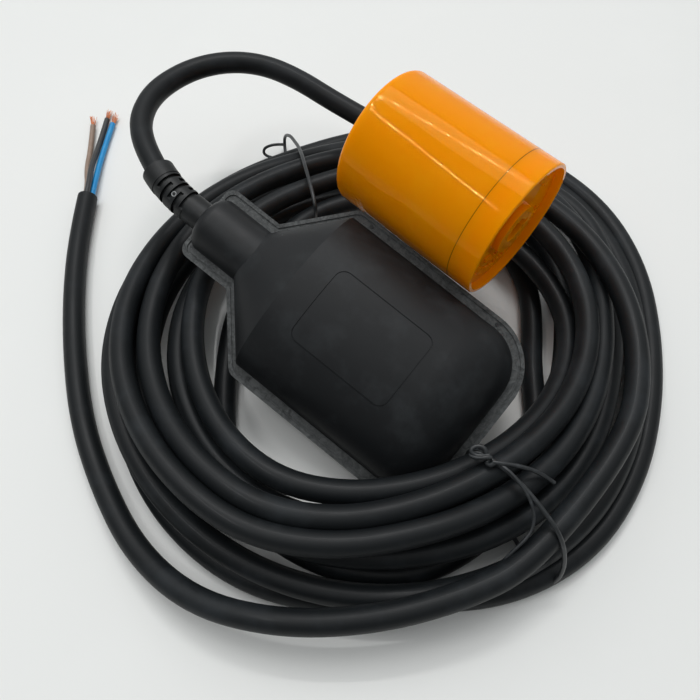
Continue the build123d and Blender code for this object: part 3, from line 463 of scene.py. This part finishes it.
# Strain relief: a slotted sleeve of satin black rubber moulded on the cable's end, with
# one small pale ring left by the mould on its middle bridge.
relief_rubber = skin("relief_rubber", "#151718", "#25282A", 0.48, 4200, 0.00002, 180, 0.5)
relief_rubber.node_tree.nodes["Principled BSDF"].inputs["Specular IOR Level"].default_value = 0.3
ring_mark_paint = skin("relief_ring_mark", "#8E9192", "#B4B7B7", 0.5, 4200, 0.00001, 900, 0.5)
ring_mark_middle = Vector((-0.06285, -0.02976, 0.05706))
ring_mark_facing = Vector((0.145, -0.442, 0.885)).to_track_quat("Z", "Y")
ring_mark_radius = 0.0009
ring_mark_thickness = 0.0004
ring_mark_sides = 10
ring_mark_points = []
for number in range(ring_mark_sides):
    angle = radians(360 / ring_mark_sides * number)
    ring_mark_points.append(tuple(ring_mark_middle + ring_mark_facing @ Vector(
        (ring_mark_radius * cos(angle), ring_mark_radius * sin(angle), 0))))
ring_mark = cord_spline("relief_ring_mark", ring_mark_points, ring_mark_thickness)
wire_ring(ring_mark)
ring_mark.data.materials.append(ring_mark_paint)
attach(ring_mark, "float")

# Inside, seen only where the shells are taken off: the capsule moulded in grey ABS with
# its rubber seals, the snap switch with its red plunger, plated and sprung steel, stamped
# brass terminals, and the counterweight's coarse cast cement.
capsule_plastic = skin("grey_capsule", "#CCCCC8", "#DCDCD8", 0.48, 3800, 0.00002, 160, 0.5)
seal_rubber = skin("seal_rubber", "#545454", "#6A6A6A", 0.6, 3000, 0.00003, 260, 0.5)
switch_plastic = skin("dark_switch_moulding", "#3E3E40", "#505053", 0.42, 3600, 0.00002, 260, 0.5)
plunger_plastic = skin("red_plunger", "#C24F46", "#D0685F", 0.3, 3600, 0.00001, 400, 0.55)
cement = skin("cast_cement", "#BCBCB8", "#D0D0CA", 0.85, 900, 0.00025, 300, 0.48)
screw_steel = skin("plated_screw", "#CBCBCE", "#E0E0E2", 0.3, 6000, 0.00001, 500, 0.5)
ball_steel = skin("polished_ball", "#E1E1E3", "#EDEDEE", 0.12, 9000, 0.000002, 300, 0.5)
lever_steel = skin("spring_strip", "#D4D4D4", "#E2E2E2", 0.3, 6000, 0.00001, 500, 0.5)
terminal_brass = skin("stamped_brass", "#E1CB94", "#EAD9AC", 0.28, 6000, 0.00001, 500, 0.5)
for metal in (screw_steel, ball_steel, lever_steel, terminal_brass):
    metal.node_tree.nodes["Principled BSDF"].inputs["Metallic"].default_value = 1.0
lead_finish = {colour: skin("lead_" + colour, *core_colours["core_" + colour],
                            0.36, 3000, 0.00002, 260, 0.5) for colour in ("black", "blue", "brown")}

# Counterweight: a cup and a pressed cap moulded in orange polypropylene, with a split
# ring in the cap's hub. The skin is glossy and clean, and light gets a little way into it,
# which keeps its shaded side warm.
weight_plastic = skin("orange_weight_moulding", "#FF8E00", "#FF970A", 0.032, 1400, 0.0000015,
                      30, 0.46)
weight_shader = weight_plastic.node_tree.nodes["Principled BSDF"]
weight_shader.inputs["Specular IOR Level"].default_value = 0.14
weight_shader.inputs["Specular Tint"].default_value = (1.0, 0.74, 0.3, 1.0)
weight_shader.inputs["Subsurface Weight"].default_value = 0.4
weight_shader.inputs["Subsurface Radius"].default_value = (1.0, 0.6, 0.1)
weight_shader.inputs["Subsurface Scale"].default_value = 0.012

# The seam where the cap is pressed on, 10 mm from the capped end. It is drawn as a thin line of
# painted shade in a darker orange, standing in for the shade in its crevice, because the cup and
# cap meet with no gap.
cap_depth = 0.01
seam_edge, seam_core = 0.00022, 0.0001
weight_axis = Vector((0.9937, -0.10094, -0.04885)).normalized()
weight_end = Vector((0.0502, 0.0311, 0.0583))
tree = weight_plastic.node_tree
weight_place = add(tree, "ShaderNodeTexCoord").outputs["Object"]
along_axis = add(tree, "ShaderNodeVectorMath", {0: weight_place, 1: weight_axis},
                 operation="DOT_PRODUCT")
from_seam = add(tree, "ShaderNodeMath", {0: along_axis.outputs["Value"],
                                          1: weight_end.dot(weight_axis) - cap_depth},
                operation="SUBTRACT")
seam_distance = add(tree, "ShaderNodeMath", {0: from_seam.outputs["Value"]}, operation="ABSOLUTE")
seam = add(tree, "ShaderNodeMapRange", {"Value": seam_distance.outputs["Value"],
                                        "From Min": seam_edge, "From Max": seam_core})
# Painted shade: the seam's line is mixed to a darker orange over the moulding's own colour
painted_seam_shade = add(tree, "ShaderNodeMixRGB",
                 {"Fac": seam.outputs["Result"], "Color2": linear("#A85800"),
                  "Color1": weight_shader.inputs["Base Color"].links[0].from_socket})
tree.links.new(painted_seam_shade.outputs["Color"], weight_shader.inputs["Base Color"])

# Raised marks moulded on the cap's recessed face, 3.4 mm below its rim: short bars of
# uneven size, set round three arcs
cap_recess = 0.0034
mark_bar = (0.0034, 0.0011, 0.0018)
mark_least, mark_most = (0.5, 0.45, 1), (1.1, 1.25, 1)
mark_seed = 5
mark_bars = bpy.data.node_groups.new("cap_marks", "GeometryNodeTree")
socket(mark_bars, "Geometry", "NodeSocketGeometry", "OUTPUT")
bars_key = socket(mark_bars, "Bars", "NodeSocketInt")
radius_key = socket(mark_bars, "Radius", "NodeSocketFloat")
start_key = socket(mark_bars, "Start", "NodeSocketFloat")
sweep_key = socket(mark_bars, "Sweep", "NodeSocketFloat")
given = add(mark_bars, "NodeGroupInput").outputs
arc = add(mark_bars, "GeometryNodeCurveArc",
          {"Resolution": given["Bars"], "Radius": given["Radius"], "Start Angle": given["Start"],
           "Sweep Angle": given["Sweep"]})
stops = add(mark_bars, "GeometryNodeCurveToPoints", {"Curve": arc.outputs["Curve"]},
            mode="EVALUATED")
place = add(mark_bars, "GeometryNodeInputPosition").outputs["Position"]
parts = add(mark_bars, "ShaderNodeSeparateXYZ", {"Vector": place}).outputs
turn = add(mark_bars, "ShaderNodeMath", {0: parts["Y"], 1: parts["X"]}, operation="ARCTAN2")
turn = add(mark_bars, "ShaderNodeCombineXYZ", {"Z": turn.outputs["Value"]})
uneven = add(mark_bars, "FunctionNodeRandomValue",
             {"Min": mark_least, "Max": mark_most, "Seed": mark_seed},
             data_type="FLOAT_VECTOR")
bar = add(mark_bars, "GeometryNodeMeshCube", {"Size": mark_bar})
laid = add(mark_bars, "GeometryNodeInstanceOnPoints",
           {"Points": stops.outputs["Points"], "Instance": bar.outputs["Mesh"],
            "Rotation": turn.outputs["Vector"], "Scale": uneven.outputs["Value"]})
whole = add(mark_bars, "GeometryNodeRealizeInstances", {"Geometry": laid.outputs["Instances"]})
coated = add(mark_bars, "GeometryNodeSetMaterial", {"Geometry": whole.outputs["Geometry"],
                                                    "Material": weight_plastic})
add(mark_bars, "NodeGroupOutput", {"Geometry": coated.outputs["Geometry"]})
face_placed = (Matrix.Translation(weight_end - weight_axis * cap_recess)
               @ weight_axis.to_track_quat("Z", "Y").to_matrix().to_4x4())
for name, bars, radius, start, sweep in (("cap_marks_upper", 22, 0.0196, 0.5, 2.2),
                                         ("cap_marks_lower", 26, 0.0196, 3.4, 2.6),
                                         ("cap_marks_inner", 12, 0.0138, 3.7, 1.9)):
    marks = baked(name, mark_bars, {bars_key: bars, radius_key: radius, start_key: start,
                                    sweep_key: sweep}, face_placed)
    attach(marks, "float")

# Which finish each of the pieces kept from the solids has
finishes = {
    "float_upper_shell": float_plastic, "float_lower_shell": float_plastic,
    "strain_relief": relief_rubber, "cable_inner": cable_rubber,
    "neck_grommet": seal_rubber, "capsule_gasket": seal_rubber,
    "capsule_base": capsule_plastic, "capsule_cover": capsule_plastic,
    "capsule_screws": screw_steel, "steel_ball": ball_steel,
    "switch_case": switch_plastic, "switch_plunger": plunger_plastic,
    "switch_lever": lever_steel, "lever_pin": lever_steel,
    "terminal_black": terminal_brass, "terminal_blue": terminal_brass,
    "terminal_brown": terminal_brass, "lead_black": lead_finish["black"],
    "lead_blue": lead_finish["blue"], "lead_brown": lead_finish["brown"],
    "weight_cup": weight_plastic, "weight_cap": weight_plastic,
    "weight_lock_ring": weight_plastic, "weight_ballast": cement,
}
for name, finish in finishes.items():
    nodes[name].data.materials.clear()
    nodes[name].data.materials.append(finish)

# Floor: a plain pale matt table top, which keeps the object's shadow.
floor = bpy.data.meshes.new("floor")
floor.from_pydata([(-2, -2, 0), (2, -2, 0), (2, 2, 0), (-2, 2, 0)], [], [(0, 1, 2, 3)])
floor = bpy.data.objects.new("floor", floor)
bpy.context.scene.collection.objects.link(floor)
floor_paint = skin("pale_floor", "#E7E8E6", "#E9EAE8", 0.8, 700, 0.00001, 6, 0.5)
floor_paint.node_tree.nodes["Principled BSDF"].inputs["Specular IOR Level"].default_value = 0.1
floor.data.materials.append(floor_paint)

# Light: a soft sky of studio light, brightest high up behind the float, and a soft sun
# from the same side. Near the horizon a pale backdrop shows to the camera and, in part, in
# glossy surfaces.
bright_way = (-0.2526, 0.3388, 0.9063)
sky_low, sky_high = 0.15, 0.85
backdrop_in_gloss = 0.25
world = bpy.data.worlds.new("studio")
world.use_nodes = True
tree = world.node_tree
sky = tree.nodes["Background"]
way = add(tree, "ShaderNodeTexCoord").outputs["Generated"]
facing = add(tree, "ShaderNodeVectorMath", {0: way, 1: bright_way}, operation="DOT_PRODUCT")
glow = add(tree, "ShaderNodeMapRange", {"Value": facing.outputs["Value"], "From Min": 0.15,
                                        "From Max": 0.95, "To Min": sky_low, "To Max": sky_high},
           interpolation_type="SMOOTHSTEP")
sky.inputs["Color"].default_value = (0.97, 0.99, 1.0, 1.0)
tree.links.new(glow.outputs["Result"], sky.inputs["Strength"])
backdrop = add(tree, "ShaderNodeBackground", {"Color": linear("#E7E8E6"), "Strength": 1.0})
rays = add(tree, "ShaderNodeLightPath").outputs
shiny = add(tree, "ShaderNodeMath", {0: rays["Is Glossy Ray"], 1: backdrop_in_gloss},
            operation="MULTIPLY")
seen = add(tree, "ShaderNodeMath", {0: rays["Is Camera Ray"], 1: shiny.outputs["Value"]})
seen_through = add(tree, "ShaderNodeMath",
                   {0: seen.outputs["Value"], 1: rays["Is Transmission Ray"]})
seen_through.use_clamp = True
rise = add(tree, "ShaderNodeSeparateXYZ", {"Vector": way}).outputs["Z"]
low = add(tree, "ShaderNodeMapRange", {"Value": rise, "From Min": 0.35, "From Max": 0.12})
shown = add(tree, "ShaderNodeMath", {0: seen_through.outputs["Value"], 1: low.outputs["Result"]},
            operation="MULTIPLY")
both = add(tree, "ShaderNodeMixShader", {0: shown.outputs["Value"], 1: sky.outputs["Background"],
                                         2: backdrop.outputs["Background"]})
tree.links.new(both.outputs["Shader"], tree.nodes["World Output"].inputs["Surface"])
bpy.context.scene.world = world

sun = bpy.data.lights.new("soft_sun", "SUN")
sun.energy = 0.73
sun.angle = radians(30)
sun.specular_factor = 0.15
sun = bpy.data.objects.new("soft_sun", sun)
sun.rotation_euler = (-Vector(bright_way)).to_track_quat("-Z", "Y").to_euler()
bpy.context.scene.collection.objects.link(sun)

# Tube lamps: two long ones overhead and a weak short one that joins them at one end, each
# lit in ten cells, so that they lie as broken streaks on the counterweight's gloss
weight_middle = Vector((0.018, 0.034, 0.06))
tube_lamps = (
    ((-0.352, 0.231, 0.896), (-0.064, 0.438, 0.878), 1.0),
    ((-0.396, -0.149, 0.881), (-0.171, -0.398, 0.851), 1.0),
    ((-0.396, -0.149, 0.881), (-0.352, 0.231, 0.896), 0.25),
)
tube_width = 0.0045
tube_energy = 1.2
tube_cells = 10.0
cell_dim, cell_bright = 0.15, 1.2
for start, end, share in tube_lamps:
    start, end = Vector(start), Vector(end)
    tube = bpy.data.lights.new("tube_lamp", "AREA")
    tube.shape = "RECTANGLE"
    tube.size = (end - start).length
    tube.size_y = tube_width
    tube.energy = tube_energy * share
    tube.use_nodes = True
    tree = tube.node_tree
    along = add(tree, "ShaderNodeNewGeometry").outputs["Parametric"]
    along = add(tree, "ShaderNodeSeparateXYZ", {"Vector": along}).outputs["X"]
    cells = add(tree, "ShaderNodeMath", {0: along, 1: tube_cells}, operation="MULTIPLY")
    within = add(tree, "ShaderNodeMath", {0: cells.outputs["Value"]}, operation="FRACT")
    lit = add(tree, "ShaderNodeMapRange", {"Value": within.outputs["Value"], "From Min": 0.18,
                                           "From Max": 0.3, "To Min": cell_dim,
                                           "To Max": cell_bright})
    tree.links.new(lit.outputs["Result"], tree.nodes["Emission"].inputs["Strength"])
    across = (end - start).normalized()
    back = ((start + end) / 2 - weight_middle).normalized()
    side = back.cross(across).normalized()
    facing = Matrix((across, side, across.cross(side))).transposed().to_4x4()
    lamp = bpy.data.objects.new("tube_lamp", tube)
    lamp.matrix_world = Matrix.Translation((start + end) / 2) @ facing
    bpy.context.scene.collection.objects.link(lamp)

bpy.context.scene.view_settings.view_transform = "Standard"
